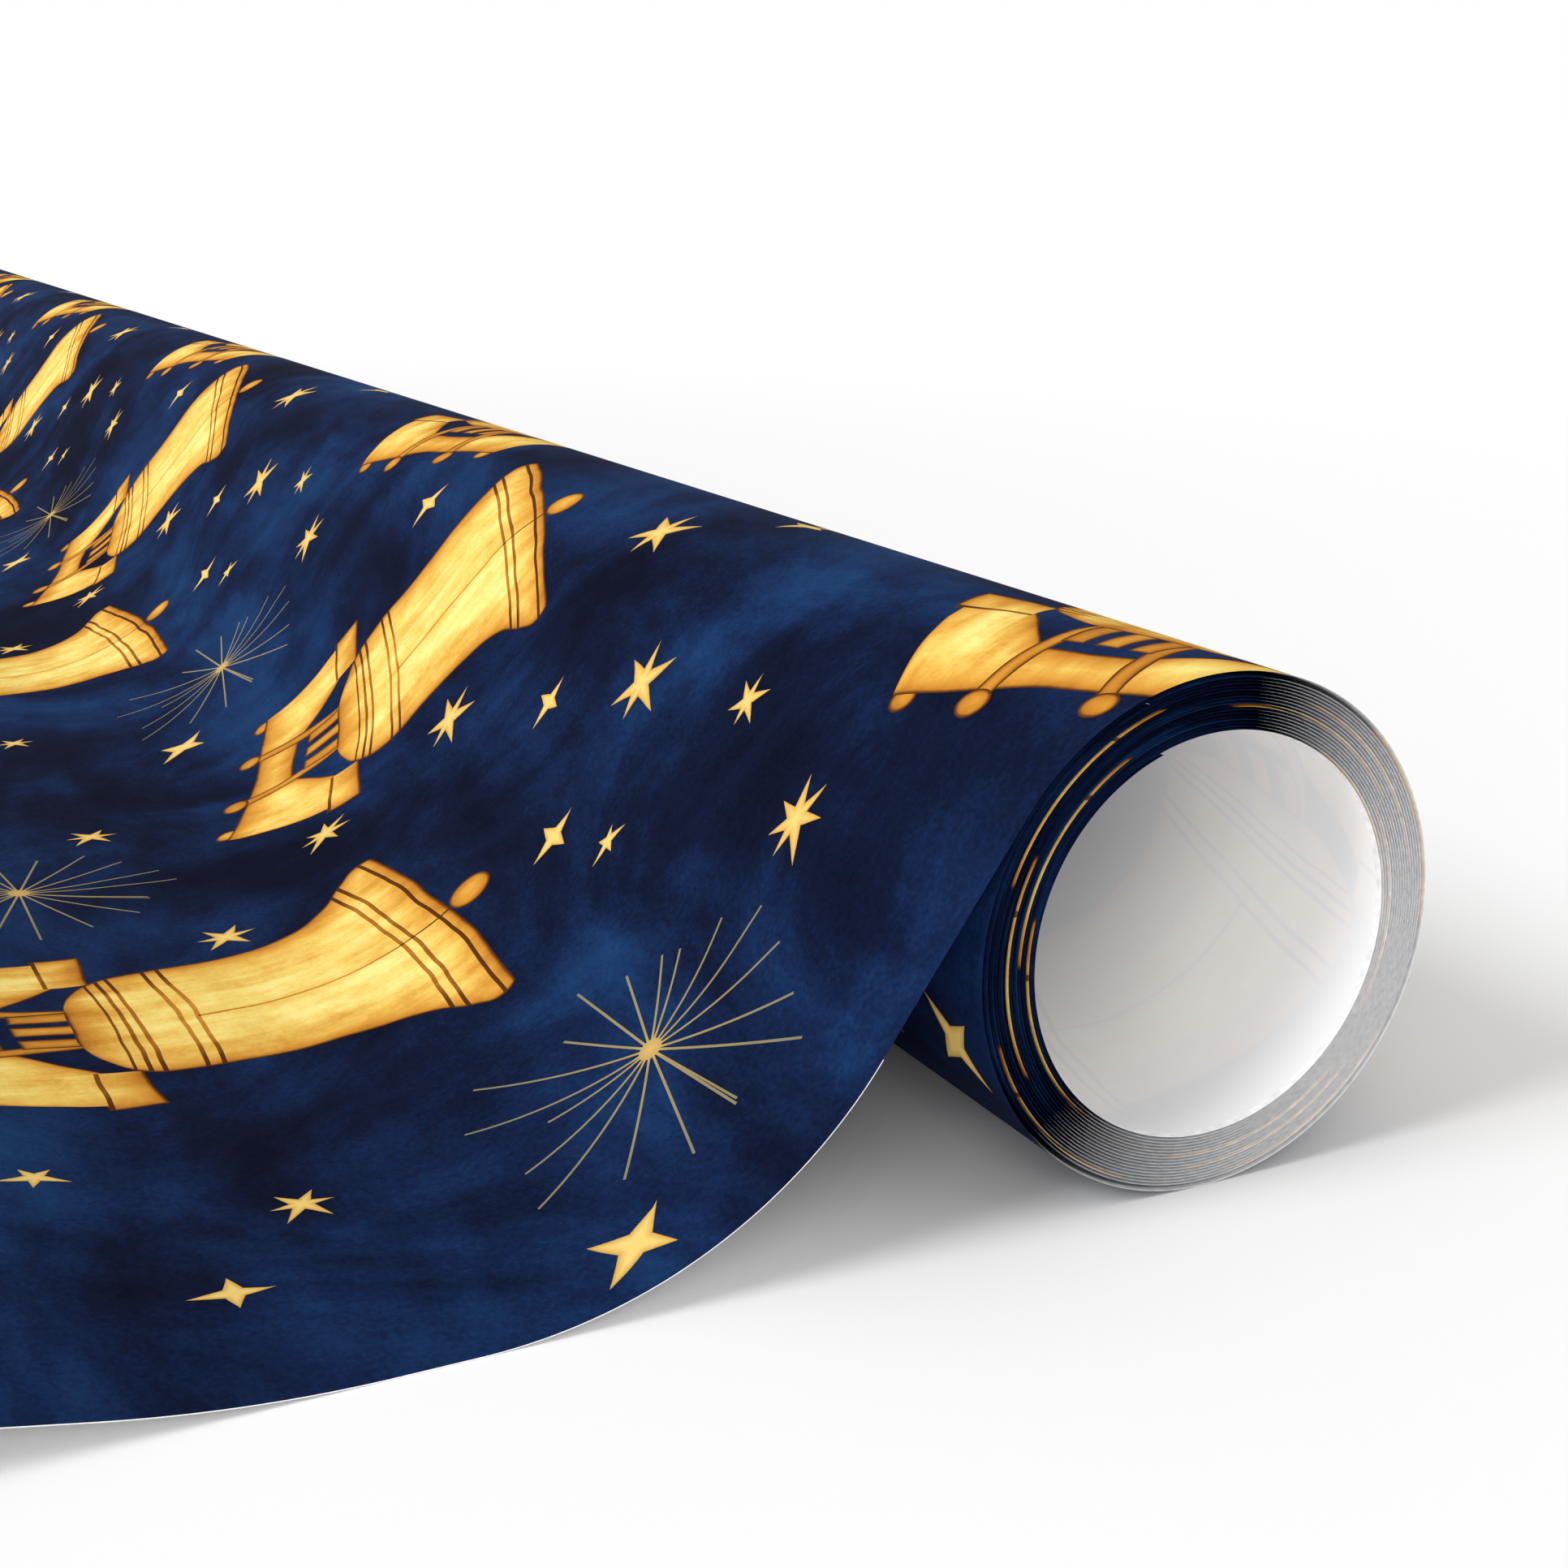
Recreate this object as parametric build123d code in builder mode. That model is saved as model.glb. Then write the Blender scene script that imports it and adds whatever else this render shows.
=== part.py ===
"""Wrapping paper roll: one printed web of paper, wound without a core, with a sheet drawn off it.

Millimetres, +Z up. The origin is on the axis of the bore, halfway along the web's width. The
axis runs along Y, and the drawn sheet leaves the roll on its -X side and lies towards -X.

The web is one length of paper. It is made here as the turns and stretches that it divides into,
each a thin solid that meets the next one face to face:
  turn_01 .. turn_17   the coil, which turns on the roll's axis as paper is drawn off
  outer_turn           the last turn round the coil, held by the drawn sheet
  falling_sheet, foot_bend, floor_strip      the sheet down to the line where it lies flat
  rising_sheet, arched_sheet, cut_end        the free sheet, which a hand lifts by its cut end
"""
from math import acos, ceil, cos, degrees, pi, radians, sin
import os

from build123d import *
from build123d.topology import SkipClean

# ---- The paper -----------------------------------------------------------------------------
WEB_WIDTH = 762.0          # across the web, so the length of the roll: 30 in
PAPER = 0.10               # thickness of the printed paper
FLAT = PAPER / 5           # most that a stretch of a bend may bow from its chord

# ---- The winding ---------------------------------------------------------------------------
BORE_RADIUS = 16.70        # inside the first half of the innermost turn
PITCH = 0.26               # radius gained in each turn: the paper and the air on it
COIL_TURNS = 17            # whole turns that spin together
SEAM_ANGLE = 110.0         # where every turn begins, in degrees from +X towards +Z
SPIN_CLEARANCE = 0.15      # air between the coil and the outer turn

# ---- The drawn sheet, measured on its under face --------------------------------------------
FALL_ANGLE = 55.0          # slope of the sheet where it leaves the roll
FOOT_BEND_RADIUS = 39.0    # sweep from that slope to the floor
FLOOR_STRIP = 6.0          # width of the strip that lies flat
RISE_RADIUS = 103.0        # upward sweep after the strip
RISE_ANGLE = 11.5          # slope at the end of that sweep
RISE_RUN = 15.0            # straight paper before the arch
ARCH_RADIUS = 200.0        # the curl that the winding leaves in the free end

# ---- Worked out from those -------------------------------------------------------------------
# The spiral is half turns struck in turn from the bore's axis and from a second centre, half a
# pitch towards the seam, so every half turn is half a pitch larger than the one before.
SEAM = Vector(cos(radians(SEAM_ANGLE)), sin(radians(SEAM_ANGLE)))
FIRST_CENTRE = Vector(0, 0)
SECOND_CENTRE = SEAM * (PITCH / 2)
OUTER_TURN_RADIUS = BORE_RADIUS + COIL_TURNS * PITCH + PAPER + SPIN_CLEARANCE
LEAVING_RADIUS = OUTER_TURN_RADIUS + PITCH
LEAVE_ANGLE = FALL_ANGLE + 90                       # round the roll, where the sheet is tangent

FLOOR = -(OUTER_TURN_RADIUS + PAPER)                # lowest point of the roll
LEAVE_HEIGHT = LEAVING_RADIUS * sin(radians(LEAVE_ANGLE)) - FLOOR
FOOT_BEND_DROP = FOOT_BEND_RADIUS * (1 - cos(radians(FALL_ANGLE)))
FALL_LENGTH = (LEAVE_HEIGHT - FOOT_BEND_DROP) / sin(radians(FALL_ANGLE))
CREST_HEIGHT = ((RISE_RADIUS + ARCH_RADIUS) * (1 - cos(radians(RISE_ANGLE)))
                + RISE_RUN * sin(radians(RISE_ANGLE)))
END_ANGLE = degrees(acos(1 - CREST_HEIGHT / ARCH_RADIUS))   # slope where the cut end lands

os.makedirs("parts", exist_ok=True)


def save(stretch, name):
    stretch.part.label = name
    export_step(stretch.part, f"parts/{name}.step")


def heading(slope):
    """Direction of travel towards -X on a downward slope, in the XZ section."""
    return Vector(-cos(radians(slope)), -sin(radians(slope)))


def printed_face(under_point, slope):
    """The point straight through the paper from one on its under face."""
    return under_point + PAPER * Vector(-sin(radians(slope)), cos(radians(slope)))


def stretch(start, slope, length, turn=0.0):
    """Adds one stretch of paper to the part: straight, or an arc through the angle turn.

    A positive turn steepens the downward slope. Returns where the under face ends."""
    along = heading(slope)
    with BuildSketch(Plane.XZ) as section:
        with BuildLine():
            if turn:
                under = JernArc(start, along, length / radians(abs(turn)), turn)
            else:
                under = Line(start, start + along * length)
            offset(amount=PAPER, side=Side.RIGHT)
        make_face()
    extrude(section.sketch, amount=WEB_WIDTH / 2, both=True, clean=False)
    return under @ 1


def bend(start, slope, radius, turn):
    """Adds an arc in stretches so short that none bows more than FLAT from its chord."""
    count = ceil(radians(abs(turn)) / (2 * acos(1 - FLAT / radius)))
    length = radius * radians(abs(turn)) / count
    with SkipClean():
        for step in range(count):
            start = stretch(start, slope + turn * step / count, length, turn / count)
    return start


def full_turn(radius):
    """The inner face of one turn, from the seam round towards -X and back to the seam."""
    CenterArc(FIRST_CENTRE, radius, SEAM_ANGLE, 180)
    CenterArc(SECOND_CENTRE, radius + PITCH / 2, SEAM_ANGLE + 180, 180)


# ---- The coil --------------------------------------------------------------------------------
for number in range(COIL_TURNS):
    with BuildPart() as turn:
        with BuildSketch(Plane.XZ):
            with BuildLine():
                full_turn(BORE_RADIUS + number * PITCH)
                offset(amount=PAPER, side=Side.RIGHT)
            make_face()
        extrude(amount=WEB_WIDTH / 2, both=True)
    save(turn, f"turn_{number + 1:02d}")

# ---- The last turn, and the sheet that falls from it to the floor ------------------------------
with BuildPart() as outer_turn:
    with BuildSketch(Plane.XZ):
        with BuildLine():
            full_turn(OUTER_TURN_RADIUS)
            offset(amount=PAPER, side=Side.RIGHT)
        make_face()
    extrude(amount=WEB_WIDTH / 2, both=True)
save(outer_turn, "outer_turn")

with BuildPart() as falling_sheet:
    leave = bend(SEAM * LEAVING_RADIUS, SEAM_ANGLE - 90, LEAVING_RADIUS, LEAVE_ANGLE - SEAM_ANGLE)
    fallen = stretch(leave, FALL_ANGLE, FALL_LENGTH)
save(falling_sheet, "falling_sheet")

with BuildPart() as foot_bend:
    foot = bend(fallen, FALL_ANGLE, FOOT_BEND_RADIUS, -FALL_ANGLE)
save(foot_bend, "foot_bend")

with BuildPart() as floor_strip:
    strip_end = stretch(foot, 0, FLOOR_STRIP)
save(floor_strip, "floor_strip")

# ---- The free sheet: up off the floor, over a low arch and down to its cut end -----------------
with BuildPart() as rising_sheet:
    risen = bend(strip_end, 0, RISE_RADIUS, -RISE_ANGLE)
    rise_end = stretch(risen, -RISE_ANGLE, RISE_RUN)
save(rising_sheet, "rising_sheet")

with BuildPart() as arched_sheet:
    crest = bend(rise_end, -RISE_ANGLE, ARCH_RADIUS, RISE_ANGLE)
save(arched_sheet, "arched_sheet")

with BuildPart() as cut_end:
    bend(crest, 0, ARCH_RADIUS, END_ANGLE)
save(cut_end, "cut_end")

# ---- Where the joints and mounts are -----------------------------------------------------------
# The free sheet folds upwards, so each fold's axis lies on the printed face.
folds = {"lift": printed_face(strip_end, 0),
         "bow": printed_face(rise_end, -RISE_ANGLE),
         "curl": printed_face(crest, 0)}
for name, fold in folds.items():
    print(f"{name} folds about x = {fold.X:.4f}, z = {fold.Y:.4f}")
print(f"floor at z = {FLOOR:.4f}, flat strip from x = {foot.X:.4f} to {strip_end.X:.4f}")
print(f"roll {2 * (LEAVING_RADIUS + PAPER):.2f} mm across, bore {2 * BORE_RADIUS:.2f} mm")
print(f"straight fall {FALL_LENGTH:.2f} mm, cut end slopes {END_ANGLE:.2f} degrees")

turn_radii = [BORE_RADIUS + number * PITCH for number in range(COIL_TURNS)] + [OUTER_TURN_RADIUS]
wound = sum(2 * pi * (radius + PITCH / 4) for radius in turn_radii)
drawn = (radians(LEAVE_ANGLE - SEAM_ANGLE) * LEAVING_RADIUS + FALL_LENGTH
         + radians(FALL_ANGLE) * FOOT_BEND_RADIUS + FLOOR_STRIP
         + radians(RISE_ANGLE) * RISE_RADIUS + RISE_RUN
         + radians(RISE_ANGLE + END_ANGLE) * ARCH_RADIUS)
print(f"web {wound + drawn:.0f} mm long: {wound:.0f} mm wound and {drawn:.0f} mm drawn off")
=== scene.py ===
"""Looks of the wrapping paper roll: one printed web of paper, wound without a core, with a sheet
drawn off it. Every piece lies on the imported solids, in metres. Lengths of the design and of the
paper are written in millimetres, and the mesh maker turns them to metres."""
import itertools
import math

import bmesh
import bpy
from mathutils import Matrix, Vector


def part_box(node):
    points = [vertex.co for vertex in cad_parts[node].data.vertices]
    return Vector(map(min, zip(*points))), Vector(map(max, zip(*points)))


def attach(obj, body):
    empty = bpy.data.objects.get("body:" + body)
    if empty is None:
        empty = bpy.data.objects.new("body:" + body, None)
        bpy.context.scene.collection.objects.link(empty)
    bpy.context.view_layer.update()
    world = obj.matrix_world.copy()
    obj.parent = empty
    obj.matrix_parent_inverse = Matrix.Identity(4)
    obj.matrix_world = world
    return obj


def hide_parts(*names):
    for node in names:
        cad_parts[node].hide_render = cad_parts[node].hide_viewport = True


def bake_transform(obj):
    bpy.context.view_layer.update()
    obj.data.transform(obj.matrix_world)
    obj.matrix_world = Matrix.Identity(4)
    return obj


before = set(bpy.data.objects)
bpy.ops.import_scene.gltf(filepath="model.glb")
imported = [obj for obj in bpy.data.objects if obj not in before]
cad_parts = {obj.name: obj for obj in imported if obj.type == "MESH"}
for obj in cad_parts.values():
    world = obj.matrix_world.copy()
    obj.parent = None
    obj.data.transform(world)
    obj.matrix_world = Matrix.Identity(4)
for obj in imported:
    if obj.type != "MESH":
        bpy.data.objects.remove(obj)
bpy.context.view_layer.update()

# ---- The printed design ----------------------------------------------------------------------
# A four-colour print on one side of the web: gold bells hung from yokes, stars and fine-rayed
# sparkles, painted in watercolour on a night-blue ground. Presses print it from a cylinder, so
# it repeats along the web, and it is stepped side by side across the web.
# Its coordinates are millimetres: x across the web from the near edge, y along it from the line
# where the sheet leaves the roll.
REPEAT_ACROSS = 163.2             # step of the design across the web
REPEAT_ALONG = 158.3              # step along the web, which is once round the press cylinder
CORNER_X, CORNER_Y = -11.5, -71   # corner of the design, where it cuts the fewest motifs


def ink(hex_colour):
    """An sRGB hex colour as the linear RGBA that a shader takes."""
    channels = [int(hex_colour[i:i + 2], 16) / 255 for i in (1, 3, 5)]
    return [c / 12.92 if c <= 0.04045 else ((c + 0.055) / 1.055) ** 2.4 for c in channels] + [1.0]


def add(tree, kind, sources=(), out=0, **settings):
    """Adds a shader node with its settings, sets or links its inputs, and returns an output."""
    node = tree.nodes.new("ShaderNode" + kind)
    for name, value in settings.items():
        setattr(node, name, value)
    pairs = sources.items() if isinstance(sources, dict) else enumerate(sources)
    for key, source in pairs:
        if isinstance(source, bpy.types.NodeSocket):
            tree.links.new(source, node.inputs[key])
        elif source is not None:
            node.inputs[key].default_value = source
    return node.outputs[out] if node.outputs else None


def shades(tree, factor, stops, interpolation="LINEAR"):
    """A colour ramp with (place, hex colour) stops."""
    colour = add(tree, "ValToRGB", [factor])
    ramp = colour.node.color_ramp
    ramp.interpolation = interpolation
    ramp.elements[0].position, ramp.elements[0].color = stops[0][0], ink(stops[0][1])
    ramp.elements[1].position, ramp.elements[1].color = stops[-1][0], ink(stops[-1][1])
    for place, hex_colour in stops[1:-1]:
        ramp.elements.new(place).color = ink(hex_colour)
    return colour


def profile(tree, along, full_along, full_height, points, handles):
    """A drawn outline as height over distance, in millimetres, from a few points."""
    share = add(tree, "Math", [along, full_along], operation="DIVIDE")
    height = add(tree, "FloatCurve", [1.0, share])
    curve = height.node.mapping.curves[0]
    for place, value in points[1:-1]:
        curve.points.new(place / full_along, value / full_height)
    curve.points[0].location = (points[0][0] / full_along, points[0][1] / full_height)
    curve.points[-1].location = (points[-1][0] / full_along, points[-1][1] / full_height)
    for point in curve.points:
        point.handle_type = handles
    height.node.mapping.update()
    return add(tree, "Math", [height, full_height], operation="MULTIPLY")


design = bpy.data.node_groups.new("night_bells_print", "ShaderNodeTree")
design.interface.new_socket("Colour", in_out="OUTPUT", socket_type="NodeSocketColor")
web = add(design, "Attribute", out="Vector", attribute_name="web_mm")

# Brush wobble: every painted outline wanders about a fifth of a millimetre over 9 mm. Ruled lines
# don't.
WOBBLE_LENGTH = 9
WOBBLE_WIDTH = 1.1                # from one extreme of the noise to the other
wobble = add(design, "TexNoise", {"Vector": web, "Scale": 1 / WOBBLE_LENGTH, "Detail": 1.0},
             out="Color")
wobble = add(design, "VectorMath", [wobble, (0.5, 0.5, 0.5)], operation="SUBTRACT")
wobble = add(design, "VectorMath", [wobble, (WOBBLE_WIDTH, WOBBLE_WIDTH, 0.0)],
             operation="MULTIPLY")
brushed = add(design, "VectorMath", [web, wobble], operation="ADD")
corners = [(CORNER_X + REPEAT_ACROSS, CORNER_Y + REPEAT_ALONG, 1), (CORNER_X, CORNER_Y, -1)]
brushed = add(design, "VectorMath", [brushed, *corners], operation="WRAP")
ruled = add(design, "VectorMath", [web, *corners], operation="WRAP")


def place(motifs, design_point):
    """Each motif's own coordinates inside its reach, and zero between motifs.

    A motif is (x, y, reach, x scale, y scale, tilt in degrees, mark). The mark comes out as z.
    A motif that the edge of the design cuts is placed again at the opposite edge."""
    own = (0, 0, 0)
    for x, y, reach, scale_x, scale_y, tilt, mark in motifs:
        for across_step, along_step in itertools.product((-1, 0, 1), repeat=2):
            centre_x = x + across_step * REPEAT_ACROSS
            centre_y = y + along_step * REPEAT_ALONG
            off_x = max(CORNER_X - centre_x, centre_x - CORNER_X - REPEAT_ACROSS)
            off_y = max(CORNER_Y - centre_y, centre_y - CORNER_Y - REPEAT_ALONG)
            if max(off_x, off_y) > reach:
                continue
            local = add(design, "Mapping",
                        [design_point, (centre_x, centre_y, -mark), (0, 0, math.radians(tilt)),
                         (scale_x, scale_y, 1)], vector_type="TEXTURE")
            away = add(design, "VectorMath", [design_point, (centre_x, centre_y, 0)], out="Value",
                       operation="DISTANCE")
            within = add(design, "Math", [away, reach], operation="LESS_THAN")
            own = add(design, "VectorMath", [local, within, own], operation="MULTIPLY_ADD")
    return own


# Ground: a wet wash of Prussian blue and near-black, clouded over 38 mm and less, laid on in
# strokes 22 mm wide and 70 mm long. The paper's tooth shows in it. Its real size, a tenth of a
# millimetre, is too fine to show, so it is drawn at 0.6 mm.
CLOUD = 38
STROKE_LENGTH, STROKE_WIDTH = 70, 22
STROKE_TILT = 0.5                 # radians from straight across the web
TOOTH = 0.6
clouds = add(design, "TexNoise", {"Vector": web, "Scale": 1 / CLOUD, "Detail": 8.0,
                                  "Roughness": 0.68, "Distortion": 0.6})
strokes = add(design, "Mapping", [web, (40, 90, 0), (0, 0, STROKE_TILT),
                                  (1 / STROKE_LENGTH, 1 / STROKE_WIDTH, 1)])
strokes = add(design, "TexNoise", {"Vector": strokes, "Scale": 1.0, "Detail": 4.0,
                                   "Roughness": 0.55})
grain = add(design, "TexNoise", {"Vector": web, "Scale": 1 / TOOTH, "Detail": 3.0,
                                 "Roughness": 0.7})
wash = add(design, "Math", [strokes, 0.45], operation="MULTIPLY")
wash = add(design, "Math", [clouds, 0.62, wash], operation="MULTIPLY_ADD")
wash = add(design, "Math", [grain, 0.16, wash], operation="MULTIPLY_ADD")
ground = shades(design, wash, [(0.505, "#060b1f"), (0.575, "#0b142d"), (0.635, "#0f2042"),
                               (0.705, "#143058"), (0.805, "#1c4069")])

# Stars: flat gold, with four to seven straight-sided rays of uneven length.
STARS = [  # x, y, ray, number of rays, tilt
    (91, -12, 6.2, 6, 0), (68.6, 4.7, 6.2, 6, 12), (47.3, 1.5, 3.7, 6, 0),
    (28.9, 8.7, 5.6, 7, 0), (85.9, 11, 3.7, 4, 0), (67.5, 22.4, 4.0, 4, 0),
    (56.9, 19.9, 2.8, 5, 0), (107.5, 18.9, 5.6, 6, 8), (112.5, 38.5, 4.7, 7, 0),
    (95.5, 55.2, 4.4, 6, 0), (154, -3.4, 4.3, 4, 0), (6, 44, 5.6, 4, 45),
    (29, 64, 3.7, 6, 0), (16.2, 72.3, 3.8, 4, 0), (78, -24.3, 4.6, 4, 0),
    (62, -50, 4.4, 6, 5), (110, -58, 3.8, 4, 0), (131, -38, 5.2, 7, 0),
    (93, -43, 3.2, 5, 0), (140, 62, 4.2, 6, 0), (40, 83, 3.2, 5, 10)]
NARROWING = 0.85                  # a star is narrower across the web than along it
INNER = 0.30                      # of that ray, at the corners between rays
SHORTEST, SPREAD = 0.68, 0.38     # rays run from 0.68 to 1.06 of the ray in the list
star = add(design, "SeparateXYZ", [place([(x, y, ray, NARROWING * ray, ray, tilt, rays)
                                          for x, y, ray, rays, tilt in STARS], brushed)])
rays = star.node.outputs["Z"]
half_step = add(design, "Math", [math.pi, rays], operation="DIVIDE")
turned = add(design, "Math", [star, star.node.outputs["Y"]], operation="ARCTAN2")
nearest = add(design, "Math", [turned, half_step], operation="PINGPONG")
radius = add(design, "VectorMath",
             [add(design, "CombineXYZ", [star, star.node.outputs["Y"]])], out="Value",
             operation="LENGTH")
ray_number = add(design, "Math", [turned, half_step], operation="DIVIDE")
ray_number = add(design, "Math", [ray_number, 0.5, 0.5], operation="MULTIPLY_ADD")
ray_number = add(design, "Math", [ray_number], operation="FLOOR")
ray_number = add(design, "Math", [rays, 3.7, ray_number], operation="MULTIPLY_ADD")
uneven = add(design, "TexWhiteNoise", {"W": ray_number}, noise_dimensions="1D")
uneven = add(design, "Math", [uneven, SPREAD, SHORTEST], operation="MULTIPLY_ADD")
out_along = add(design, "Math", [add(design, "Math", [nearest], operation="COSINE"), radius],
                operation="MULTIPLY")
out_along = add(design, "Math", [out_along, uneven], operation="DIVIDE")
out_aside = add(design, "Math", [add(design, "Math", [nearest], operation="SINE"), radius],
                operation="MULTIPLY")
corner_x = add(design, "Math", [add(design, "Math", [half_step], operation="COSINE"), INNER],
               operation="MULTIPLY")
corner_y = add(design, "Math", [add(design, "Math", [half_step], operation="SINE"), INNER],
               operation="MULTIPLY")
inside = add(design, "Math", [add(design, "Math", [1.0, out_along], operation="SUBTRACT"),
                              corner_y], operation="MULTIPLY")
aside = add(design, "Math", [add(design, "Math", [1.0, corner_x], operation="SUBTRACT"),
                             out_aside], operation="MULTIPLY")
inside = add(design, "Math", [inside, aside], operation="SUBTRACT")
on_star = add(design, "Math", [add(design, "Math", [inside, 0.0], operation="GREATER_THAN"),
                               add(design, "Math", [rays, 1.0], operation="GREATER_THAN")],
              operation="MULTIPLY")
star_gold = add(design, "Math", [grain, 0.05, inside], operation="MULTIPLY_ADD")
star_gold = shades(design, star_gold, [(0.0, "#9c7430"), (0.05, "#d0a552"), (0.14, "#e4c472")])
colour = add(design, "Mix", {"Factor": on_star, 6: ground, 7: star_gold}, out=2,
             data_type="RGBA")

# Sparkles: hair lines of dull gold, a quarter of a millimetre wide, from a small bright heart.
# They stand 20 degrees apart, give or take 5, and are 10.5 to 19.5 mm long.
LINES = 18
HAIR = 0.13                       # half the width of a line
SHORT_LINE, LINE_SPREAD = 10.5, 9.0
SWERVE = 0.5                      # of the angle between lines, from one extreme to the other
HEART = 1.2
LINE_STRENGTH = 0.75              # the thin gold lets the ground show through
sparkle = add(design, "SeparateXYZ", [place([(27.2, 32, 19.5, 1, 1, 6, 1),
                                             (120, 73.2, 17.5, 1, 1, 63, 1)], ruled)])
spun = add(design, "Math", [sparkle.node.outputs["Y"], sparkle], operation="ARCTAN2")
spun = add(design, "Math", [spun, LINES / (2 * math.pi)], operation="MULTIPLY")
line_number = add(design, "Math", [spun], operation="ROUND")
line_noise = add(design, "TexWhiteNoise", {"W": line_number}, noise_dimensions="1D")
reach = add(design, "Math", [line_noise, LINE_SPREAD, SHORT_LINE], operation="MULTIPLY_ADD")
swerve = add(design, "TexWhiteNoise",
             {"W": add(design, "Math", [line_number, 40.0], operation="ADD")},
             noise_dimensions="1D")
swerve = add(design, "Math", [swerve, SWERVE, -SWERVE / 2], operation="MULTIPLY_ADD")
off_line = add(design, "Math", [spun, line_number], operation="SUBTRACT")
off_line = add(design, "Math", [off_line, swerve], operation="SUBTRACT")
off_line = add(design, "Math", [off_line, 2 * math.pi / LINES], operation="MULTIPLY")
from_heart = add(design, "VectorMath",
                 [add(design, "CombineXYZ", [sparkle, sparkle.node.outputs["Y"]])], out="Value",
                 operation="LENGTH")
off_line = add(design, "Math", [add(design, "Math", [off_line], operation="SINE"), from_heart],
               operation="MULTIPLY")
off_line = add(design, "Math", [off_line], operation="ABSOLUTE")
left_of_line = add(design, "Math", [reach, from_heart], operation="SUBTRACT")
on_line = add(design, "Math", [off_line, HAIR], operation="LESS_THAN")
on_line = add(design, "Math", [on_line, add(design, "Math", [left_of_line, 0.0],
                                            operation="GREATER_THAN")], operation="MULTIPLY")
in_heart = add(design, "Math", [from_heart, HEART], operation="LESS_THAN")
on_line = add(design, "Math", [on_line, in_heart], operation="MAXIMUM")
on_line = add(design, "Math", [on_line, sparkle.node.outputs["Z"]], operation="MULTIPLY")
on_line = add(design, "Math", [on_line, LINE_STRENGTH], operation="MULTIPLY")
dull_gold = shades(design, add(design, "Math", [from_heart, 19.0], operation="DIVIDE"),
                   [(0.0, "#e6bc62"), (0.12, "#ab955c"), (1.0, "#868264")])
colour = add(design, "Mix", {"Factor": on_line, 6: colour, 7: dull_gold}, out=2,
             data_type="RGBA")

# Bells: each hangs by two straps and a row of loops from a yoke with knobs on its ends. x is
# across the bell and height from its lip to its yoke. Each part is drawn over the one before, and
# is known by the depth inside its own outline.
LIP_BELOW_MIDDLE = 25             # from the lip to the middle of the whole motif
BELL_HEIGHT = 40
bell = add(design, "SeparateXYZ", [place([(130.4, 14.2, 35.5, 1, 1, -24, 1),
                                          (74.9, 59.7, 35.5, 1, 1, 2, 1),
                                          (18.9, -37.3, 35.5, 1, 1, 18, 1)], brushed)])
across = bell
beside = add(design, "Math", [across], operation="ABSOLUTE")
height = add(design, "Math", [bell.node.outputs["Y"], LIP_BELOW_MIDDLE], operation="ADD")


def depth_between(low, value, high):
    """How far a value lies inside a band, in millimetres."""
    above = add(design, "Math", [value, low], operation="SUBTRACT")
    below = add(design, "Math", [high, value], operation="SUBTRACT")
    return add(design, "Math", [above, below], operation="MINIMUM")


def disc(centre_x, centre_y, size, mirrored):
    """Depth inside a disc, one on each side of the bell if mirrored."""
    point = add(design, "CombineXYZ", [beside if mirrored else across, height])
    away = add(design, "VectorMath", [point, (centre_x, centre_y, 0)], out="Value",
               operation="DISTANCE")
    return add(design, "Math", [size, away], operation="SUBTRACT")


def over(lower, upper):
    """The upper shape's depth where there is paint of it, and the lower's elsewhere."""
    covers = add(design, "Math", [upper, 0.0], operation="GREATER_THAN")
    return add(design, "Mix", {"Factor": covers, 2: lower, 3: upper})


# The yoke is a bar with sloping shoulders, and a ruled line sets off the cap at each end.
LINE_DEPTH = 0.06                 # share of the depth left under a ruled line, so it reads brown
yoke_near = profile(design, beside, 24, 60, [(0, 47.4), (5.5, 47), (12.2, 39.4), (12.4, 36.0),
                                             (20.8, 35.4), (24, 35.4)], "VECTOR")
yoke_far = profile(design, beside, 24, 60, [(0, 53.2), (17.4, 54.0), (19.6, 43), (19.8, 40.6),
                                            (24, 40.4)], "VECTOR")
yoke = add(design, "Math", [depth_between(yoke_near, height, yoke_far),
                            depth_between(-21, across, 21)], operation="MINIMUM")
cap_line = add(design, "Math", [beside, 12.2], operation="GREATER_THAN")
cap_line = add(design, "Math", [cap_line, add(design, "Math", [height, 40.2, 0.24],
                                              operation="COMPARE")], operation="MULTIPLY")
cap_line = add(design, "Math", [cap_line, LINE_DEPTH - 1, 1.0], operation="MULTIPLY_ADD")
yoke = add(design, "Math", [yoke, cap_line], operation="MULTIPLY")
painted = over(disc(15.8, 54.4, 1.5, True), yoke)

# Two straps lean out from the bell's crown over the yoke, with a knob on each.
strap_middle = add(design, "Math", [height, 0.15, -1.6], operation="MULTIPLY_ADD")
strap = add(design, "Math", [beside, strap_middle], operation="SUBTRACT")
strap = depth_between(-1.0, strap, 1.0)
strap = add(design, "Math", [strap, depth_between(37, height, 55)], operation="MINIMUM")
painted = over(painted, strap)
painted = over(painted, disc(6.7, 55, 1.7, True))

# Three upright loops join the crown to the yoke.
loop = add(design, "Math", [beside, 1.75], operation="PINGPONG")
loop = add(design, "Math", [1.25, loop], operation="SUBTRACT")
loop = add(design, "Math", [loop, depth_between(37, height, 45.5)], operation="MINIMUM")
loop = add(design, "Math", [loop, depth_between(-4.8, across, 4.8)], operation="MINIMUM")
painted = over(painted, loop)

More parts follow.
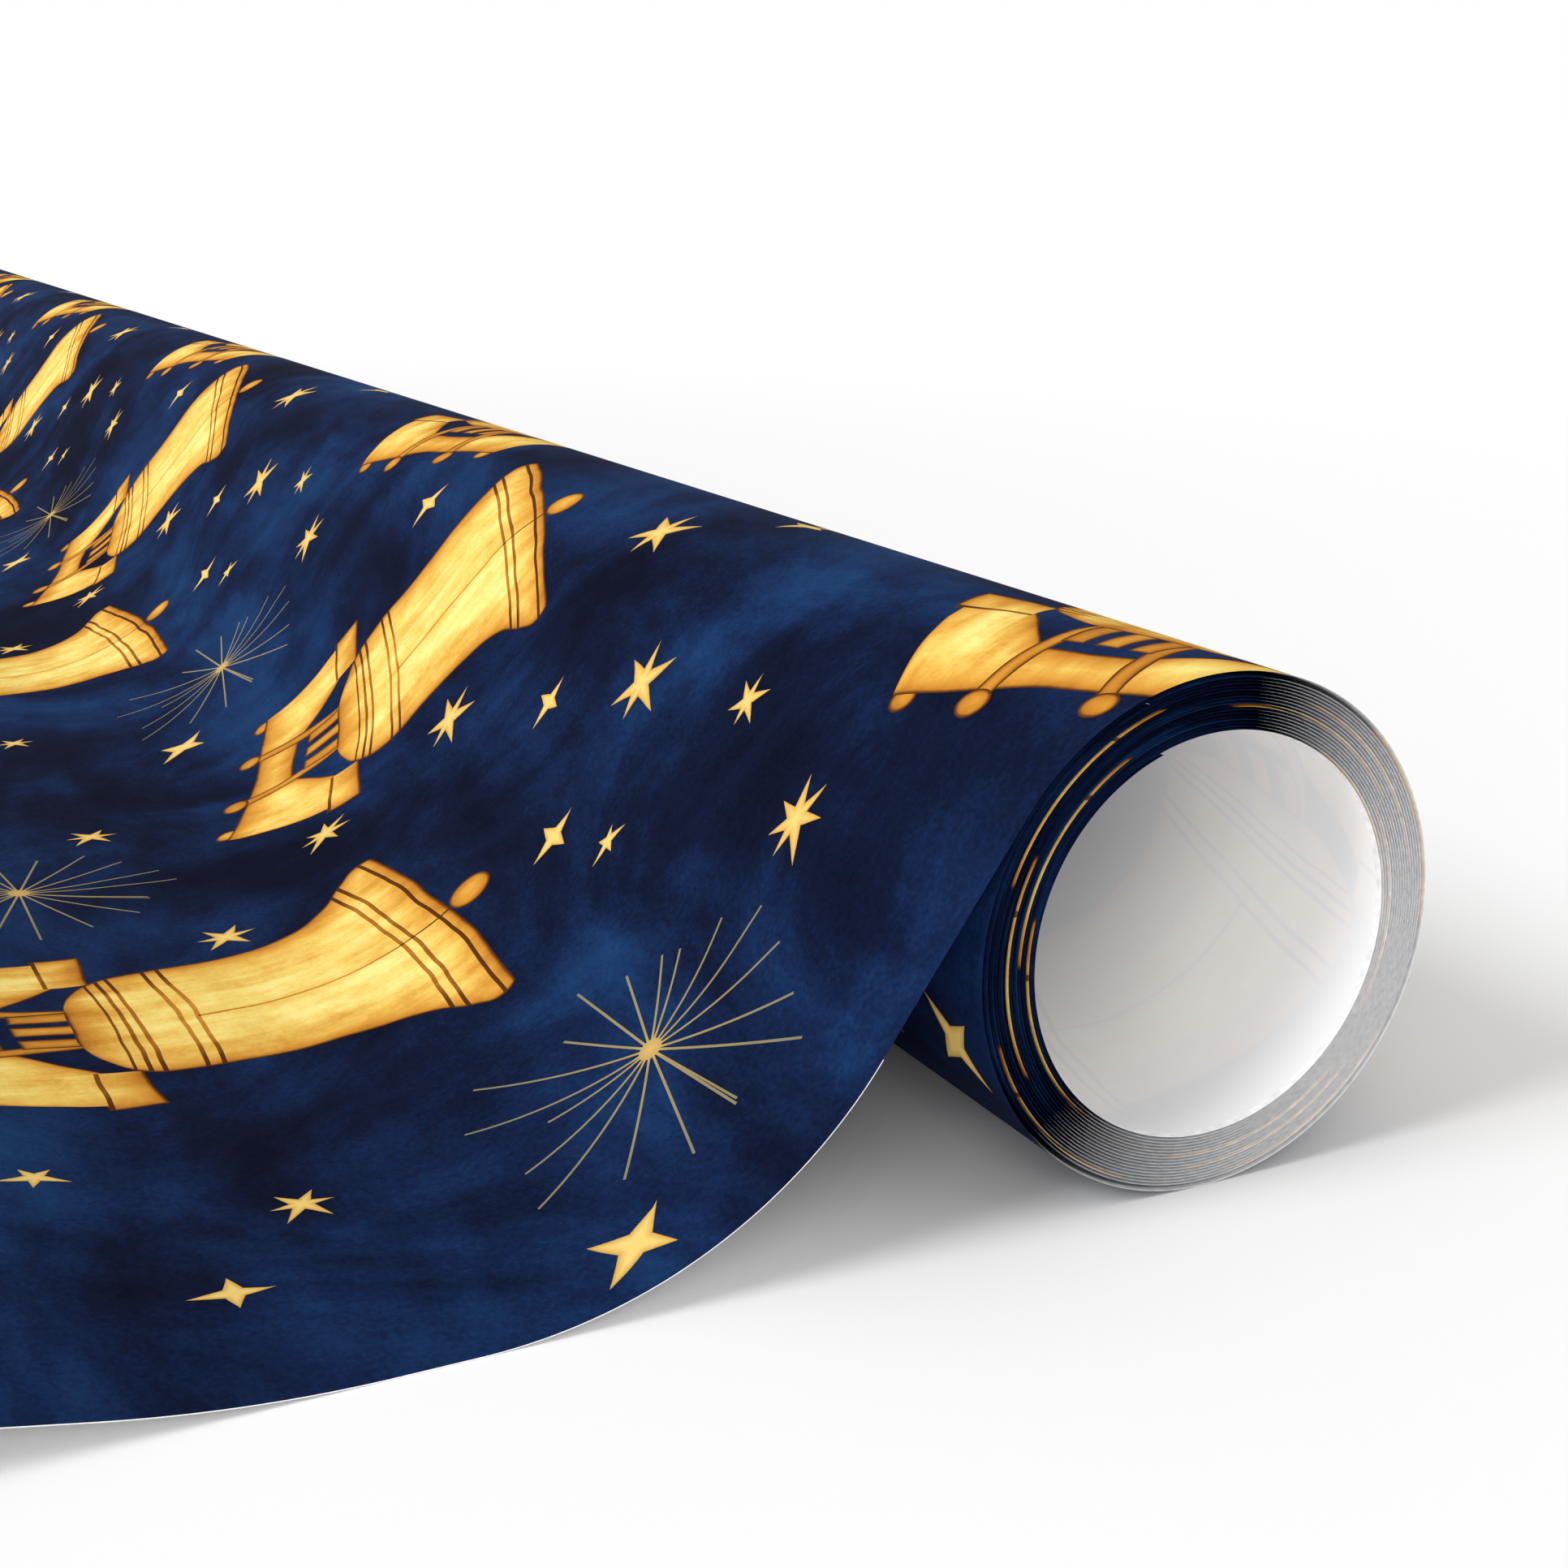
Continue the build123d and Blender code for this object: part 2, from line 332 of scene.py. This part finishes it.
# The body flares to a lip that curves round the bell, and the clapper hangs below it.
lip_curve = add(design, "Math", [across, across], operation="MULTIPLY")
rise = add(design, "Math", [lip_curve, -0.003, height], operation="MULTIPLY_ADD")
half_width = profile(design, rise, BELL_HEIGHT, 24,
                     [(0, 22.4), (1.6, 23.2), (4.5, 21.4), (9, 17.2), (15, 14.9), (22, 14.2),
                      (31, 14), (35, 12.9), (38.2, 9.4), (40, 3.6)], "AUTO")
body = add(design, "Math", [depth_between(0, rise, BELL_HEIGHT),
                            add(design, "Math", [half_width, beside], operation="SUBTRACT")],
           operation="MINIMUM")
BANDS = [1.4, 5.0, 6.4, 28.0, 29.5, 33.4, 34.7, 36.0]   # ruled lines round it, from the lip
HALF_BAND = 0.2
bands = [(0.0, "#ffffff")]
for band in BANDS:                # the grey is LINE_DEPTH as sRGB
    bands += [((band - HALF_BAND) / BELL_HEIGHT, "#454545"),
              ((band + HALF_BAND) / BELL_HEIGHT, "#ffffff")]
bands = shades(design, add(design, "Math", [rise, BELL_HEIGHT], operation="DIVIDE"),
               bands + [(1, "#ffffff")], "CONSTANT")
seam_line = add(design, "Math", [across, -0.9, 0.17], operation="COMPARE")
seam_line = add(design, "Math", [seam_line, add(design, "Math", [rise, 28.0],
                                                operation="LESS_THAN")], operation="MULTIPLY")
seam_line = add(design, "Math", [seam_line, LINE_DEPTH - 1, 1.0], operation="MULTIPLY_ADD")
body = add(design, "Math", [body, bands], operation="MULTIPLY")
body = add(design, "Math", [body, seam_line], operation="MULTIPLY")
painted = over(painted, body)
painted = over(painted, disc(-0.9, -2.7, 2.6, False))

# The gold wash pools brown at the outlines, and runs in streaks from mouth to yoke, 2 to 4 mm
# apart.
streaks = add(design, "CombineXYZ", [across, add(design, "Math", [height, 0.14],
                                                 operation="MULTIPLY")])
streaks = add(design, "TexNoise", {"Vector": streaks, "Scale": 1 / 3.6, "Detail": 3.0,
                                   "Roughness": 0.55})
mottle = add(design, "TexNoise", {"Vector": web, "Scale": 1 / 5, "Detail": 5.0,
                                  "Roughness": 0.65})
POOL = 6.5                        # how far in the wash is darker
PEN = 0.5                         # width of the dark line round each shape
pooled = add(design, "Math", [painted, POOL], operation="DIVIDE", use_clamp=True)
pooled = add(design, "Math", [pooled, 0.5], operation="POWER")
pen_line = add(design, "Math", [painted, PEN], operation="DIVIDE", use_clamp=True)
pooled = add(design, "Math", [pooled, pen_line], operation="MULTIPLY")
tone = add(design, "Math", [streaks, 1.25, -0.50], operation="MULTIPLY_ADD")
tone = add(design, "Math", [mottle, 0.95, tone], operation="MULTIPLY_ADD")
tone = add(design, "Math", [grain, 0.34, tone], operation="MULTIPLY_ADD")
tone = add(design, "Math", [tone, pooled], operation="MULTIPLY")
bell_gold = shades(design, tone, [(0.0, "#4a280e"), (0.04, "#5e3511"), (0.13, "#a2651f"),
                                  (0.30, "#c4862f"), (0.48, "#d6a245"), (0.72, "#e6c465"),
                                  (0.98, "#efdc86")])
on_bell = add(design, "Math", [painted, 0.0], operation="GREATER_THAN")
on_bell = add(design, "Math", [on_bell, bell.node.outputs["Z"]], operation="MULTIPLY")
colour = add(design, "Mix", {"Factor": on_bell, 6: colour, 7: bell_gold}, out=2,
             data_type="RGBA")
group_end = design.nodes.new("NodeGroupOutput")
design.links.new(colour, group_end.inputs[0])

# ---- The paper ---------------------------------------------------------------------------------
# Light uncoated gift wrap of about 80 g: matt, slightly toothy, white in the body. Ink sinks in,
# so the printed face has almost no gloss, and the back shows a ghost of the print through it.
# Real fibres are finer than a picture shows, so the relief is drawn 0.4 mm from hill to hill.
FIBRE = 0.4
RELIEF = 0.00003                  # height of the hills, in metres
GHOST = 0.11                      # share of the print that shows through


def new_material(name):
    """An empty material, and its node tree."""
    material = bpy.data.materials.new(name)
    material.use_nodes = True
    material.node_tree.nodes.clear()
    return material, material.node_tree


def paper_surface(tree, colour, roughness, gloss):
    """Matt paper with its fibres as a low relief."""
    place_on_web = add(tree, "Attribute", out="Vector", attribute_name="web_mm")
    fibres = add(tree, "TexNoise", {"Vector": place_on_web, "Scale": 1 / FIBRE, "Detail": 3.0,
                                    "Roughness": 0.6})
    relief = add(tree, "Bump", {"Strength": 0.25, "Distance": RELIEF, "Height": fibres})
    surface = add(tree, "BsdfPrincipled", {"Base Color": colour, "Roughness": roughness,
                                           "IOR": 1.45, "Specular IOR Level": gloss,
                                           "Normal": relief})
    add(tree, "OutputMaterial", [surface])


printed, tree = new_material("matt_printed_face")
art = add(tree, "Group", node_tree=design)
paper_surface(tree, art, 0.75, 0.03)

back, tree = new_material("white_paper_back")
art = add(tree, "Group", node_tree=design)
ghosted = add(tree, "Mix", {"Factor": GHOST, 6: ink("#fcfcfd"), 7: art}, out=2,
              data_type="RGBA")
paper_surface(tree, ghosted, 0.9, 0.2)

# A cut shows the white body of the paper, a little uneven where the blade tore the fibres. The
# ends of the wound paper were cut at once by a coarser knife. Their grey is also set a touch darker
# than the drawn sheet's cut, as painted shade for the narrow gaps between the wound turns.
cuts = {}
for name, tear, dark, light in [("cut_paper_edge", 0.6, "#e2e2e0", "#f6f6f4"),
                                ("wound_cut_edge_and_painted_shade", 0.9, "#dcdcdc", "#f4f4f4")]:
    cuts[name], tree = new_material(name)
    place_on_web = add(tree, "Attribute", out="Vector", attribute_name="web_mm")
    fray = add(tree, "TexNoise", {"Vector": place_on_web, "Scale": 1 / tear, "Detail": 2.0})
    fray = shades(tree, fray, [(0.3, dark), (0.7, light)])
    paper_surface(tree, fray, 0.9, 0.1)

# ---- The coil ----------------------------------------------------------------------------------
# Seventeen whole turns of the web, wound on themselves with a little air between them. Each half
# turn is struck from one of two centres, half a pitch apart, so the spiral never steps.
WEB_WIDTH = 762
PAPER = 0.10
PITCH = 0.26
BORE_RADIUS = 16.70
COIL_TURNS = 17
SEAM_SLOPE = 20                   # downward slope of the web at the seam, 110 degrees round
WOUND_FEATHER = 0.60              # slant of the knife's cut through the wound paper
STATION = 0.6                     # spacing of the cross lines of every mesh
PRINTED, BACK, CUT = 0, 1, 2      # places of the three materials on every sheet


def follow(start, legs):
    """Stations (x, z, slope, place on the web) along the under face. A leg is (length, turn)."""
    stations = [start]
    for length, turn in legs:
        x, z, slope, run = stations[-1]
        count = math.ceil(length / STATION)
        for step in range(1, count + 1):
            share = step / count
            a, b = math.radians(slope), math.radians(slope + turn * share)
            if turn:
                radius = length / math.radians(turn)
                east, down = radius * (math.sin(b) - math.sin(a)), radius * (math.cos(a) - math.cos(b))
            else:
                east, down = length * share * math.cos(a), length * share * math.sin(a)
            stations.append((x - east, z - down, slope + turn * share, run + length * share))
    return stations


def sheet_of_paper(name, stations, edge, feather, lanes=1):
    """A closed mesh of paper on its under face's stations, printed side up.

    The knife leaves the under face short of the printed one, by the feather."""
    vertices, places = [], []
    for x, z, slope, run in stations:
        up = Vector((-math.sin(math.radians(slope)), 0, math.cos(math.radians(slope))))
        for lane in range(lanes + 1):
            y = WEB_WIDTH * lane / lanes
            under_y = feather + (WEB_WIDTH - 2 * feather) * lane / lanes
            under = Vector((x, under_y - WEB_WIDTH / 2, z))
            over = Vector((x, y - WEB_WIDTH / 2, z)) + PAPER * up
            vertices += [under / 1000, over / 1000]
            places += [(under_y, run, 0), (y, run, 0)]
    row = 2 * (lanes + 1)
    faces, faces_of = [], []
    for station in range(len(stations) - 1):
        a, b = station * row, (station + 1) * row
        for lane in range(lanes):
            i, j = a + 2 * lane, b + 2 * lane
            faces += [(i, i + 2, j + 2, j), (i + 1, j + 1, j + 3, i + 3)]
            faces_of += [BACK, PRINTED]
        faces += [(a, b, b + 1, a + 1), (a + row - 2, a + row - 1, b + row - 1, b + row - 2)]
        faces_of += [CUT, CUT]
    for lane in range(lanes):
        i, j = 2 * lane, (len(stations) - 1) * row + 2 * lane
        faces += [(i, i + 1, i + 3, i + 2), (j, j + 2, j + 3, j + 1)]
        faces_of += [CUT, CUT]
    mesh = bpy.data.meshes.new(name)
    mesh.from_pydata(vertices, [], faces)
    for material in (printed, back, edge):
        mesh.materials.append(material)
    mesh.polygons.foreach_set("material_index", faces_of)
    mesh.polygons.foreach_set("use_smooth", [True] * len(faces))
    web_mm = mesh.attributes.new("web_mm", "FLOAT_VECTOR", "POINT")
    web_mm.data.foreach_set("vector", [value for triple in places for value in triple])
    kinds = {}
    for polygon in mesh.polygons:
        for key in polygon.edge_keys:
            kinds.setdefault(key, set()).add(faces_of[polygon.index])
    sharp = mesh.attributes.new("sharp_edge", "BOOLEAN", "EDGE")
    sharp.data.foreach_set("value", [len(kinds[e.key]) > 1 or kinds[e.key] == {CUT}
                                     for e in mesh.edges])
    mesh.validate()
    piece = bpy.data.objects.new(name, mesh)
    bpy.context.scene.collection.objects.link(piece)
    return piece


def full_turn(radius, run):
    """The stations of one turn, from the seam round and back to the seam."""
    seam = (-radius * math.sin(math.radians(SEAM_SLOPE)), radius * math.cos(math.radians(SEAM_SLOPE)),
            SEAM_SLOPE, run)
    return follow(seam, [(math.pi * radius, 180), (math.pi * (radius + PITCH / 2), 180)])


# The web's places are counted from where the sheet leaves the roll, so the coil's are negative.
SPIN_CLEARANCE = 0.15                                    # air between the coil and the last turn
OUTER_RADIUS = BORE_RADIUS + COIL_TURNS * PITCH + PAPER + SPIN_CLEARANCE
LEAVING_RADIUS = OUTER_RADIUS + PITCH
END_OF_WRAP = math.radians(35) * LEAVING_RADIUS          # from the seam to where the sheet leaves
radii = [BORE_RADIUS + number * PITCH for number in range(COIL_TURNS)]
run = -END_OF_WRAP - 2 * math.pi * (OUTER_RADIUS + sum(radii) + (COIL_TURNS + 1) * PITCH / 4)
below = "wound_turn_02"           # the turn just made; nothing reads it
for number, radius in enumerate(radii, start=1):
    stations = full_turn(radius, run)
    name = f"wound_turn_{number:02d}"
    turn = sheet_of_paper(name, stations, cuts["wound_cut_edge_and_painted_shade"], WOUND_FEATHER)
    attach(turn, "coil")
    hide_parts(f"turn_{number:02d}")
    run, below = stations[-1][3], name

# ---- The last turn -------------------------------------------------------------------------------
# The outermost whole turn of the same web. It stays with the drawn sheet while the coil turns
# inside it, so a hair of air parts the two.
stations = full_turn(OUTER_RADIUS, run)
last_turn = sheet_of_paper("last_turn", stations, cuts["wound_cut_edge_and_painted_shade"], WOUND_FEATHER)
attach(last_turn, "sheet")
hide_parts("outer_turn")

# ---- The drawn sheet, down to the floor ------------------------------------------------------------
# The paper pulled off the roll. It leaves on a slope of 55 degrees and sweeps down until a narrow
# strip of it lies flat.
FALL_SLOPE = 55
FALL_LENGTH = 21.05
FOOT_BEND_RADIUS = 39
SCISSOR_FEATHER = 0.02            # slant of the cut at the drawn sheet's edges
LANES = 12                        # across the web, so that no face of the sheet is a needle
for name, nodes, feather, legs in [
        ("falling_paper", ["falling_sheet"], WOUND_FEATHER, [(END_OF_WRAP, 35), (FALL_LENGTH, 0)]),
        ("foot_sweep", ["foot_bend", "floor_strip"], SCISSOR_FEATHER,
         [(math.radians(FALL_SLOPE) * FOOT_BEND_RADIUS, -FALL_SLOPE), (6, 0)])]:
    stations = follow(stations[-1], legs)
    piece = sheet_of_paper(name, stations, cuts["cut_paper_edge"], feather, LANES)
    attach(piece, "sheet")
    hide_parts(*nodes)

# ---- The free sheet --------------------------------------------------------------------------------
# The rest of the drawn paper, which no longer touches the roll. The winding has left a curl in it,
# so it rises, arches over and comes down on its cut edge.
ARCH_RADIUS = 200
for name, node, legs, held_by, moved_by in [
        ("rising_paper", "rising_sheet", [(math.radians(11.5) * 103, -11.5), (15, 0)], "sheet", "rise"),
        ("arched_paper", "arched_sheet", [(math.radians(11.5) * ARCH_RADIUS, 11.5)], "rise", "arch"),
        ("cut_end_paper", "cut_end", [(math.radians(17.32) * ARCH_RADIUS, 17.32)], "arch", "free_end")]:
    stations = follow(stations[-1], legs)
    piece = sheet_of_paper(name, stations, cuts["cut_paper_edge"], SCISSOR_FEATHER, LANES)
    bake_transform(piece)
    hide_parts(node)

# ---- Studio ----------------------------------------------------------------------------------------
# A white table that runs out of sight under an even white sky. One broad soft light stands high on
# the left, so that shadows fall to the right, and a wide low one fills from the front.
floor_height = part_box("floor_strip")[0].z - 0.00002      # a hair below the paper that lies on it
floor_mesh = bpy.data.meshes.new("white_table")
floor_mesh.from_pydata([(x, y, floor_height) for x, y in ((-30, -30), (30, -30), (30, 30), (-30, 30))],
                       [], [(0, 1, 2, 3)])
table = bpy.data.objects.new("white_table", floor_mesh)
bpy.context.scene.collection.objects.link(table)
laminate, tree = new_material("matt_white_laminate")
away = add(tree, "TexCoord", out="Object")
away = add(tree, "VectorMath", [away], out="Value", operation="LENGTH")
# Painted shade: the table is greyer near the roll and whiter out to a metre away, standing in for light
# that falls off there.
table_painted_shade = shades(tree, away, [(0.15, "#eeeeee"), (0.6, "#f4f4f4"), (1.0, "#f7f7f7")])
surface = add(tree, "BsdfPrincipled", {"Base Color": table_painted_shade, "Roughness": 1.0,
                                       "Specular IOR Level": 0.0})
add(tree, "OutputMaterial", [surface])
floor_mesh.materials.append(laminate)

backdrop_mesh = bpy.data.meshes.new("white_backdrop")
shell = bmesh.new()
bmesh.ops.create_icosphere(shell, subdivisions=4, radius=35)
shell.to_mesh(backdrop_mesh)
shell.free()
backdrop = bpy.data.objects.new("white_backdrop", backdrop_mesh)
bpy.context.scene.collection.objects.link(backdrop)
backdrop.visible_diffuse = backdrop.visible_glossy = backdrop.visible_shadow = False
lit_white, tree = new_material("lit_backdrop")
add(tree, "OutputMaterial", [add(tree, "Emission", [(1, 1, 1, 1), 1.0])])
backdrop_mesh.materials.append(lit_white)

sky = bpy.data.worlds.new("white_sky")
sky.use_nodes = True
sky.node_tree.nodes["Background"].inputs["Color"].default_value = (1, 1, 1, 1)
sky.node_tree.nodes["Background"].inputs["Strength"].default_value = 0.64
bpy.context.scene.world = sky

for name, energy, spread, heading in [("soft_light", 1.9, 24, (0.80, 0.04, -0.60)),
                                      ("front_fill", 1.5, 50, (0.49, 0.83, -0.27))]:
    light = bpy.data.lights.new(name, "SUN")
    light.energy = energy
    light.angle = math.radians(spread)
    lamp = bpy.data.objects.new(name, light)
    lamp.rotation_euler = Vector(heading).to_track_quat("-Z", "Y").to_euler()
    bpy.context.scene.collection.objects.link(lamp)
bpy.context.scene.view_settings.view_transform = "Standard"

# ---- Camera ----------------------------------------------------------------------------------------
# A 51 mm lens, close to the roll's near end, a little to its left and above it.
near_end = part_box("outer_turn")[0].y
lens = bpy.data.cameras.new("camera")
lens.lens = 50.9
lens.sensor_width = 36
lens.clip_start, lens.clip_end = 0.01, 100
camera = bpy.data.objects.new("camera", lens)
camera.location = (-0.10396, near_end - 0.13410, 0.05956)
LOOKING_DOWN, LOOKING_RIGHT = 15.72, 26.16
camera.rotation_euler = (math.radians(90 - LOOKING_DOWN), 0, math.radians(-LOOKING_RIGHT))
bpy.context.scene.collection.objects.link(camera)
bpy.context.scene.camera = camera
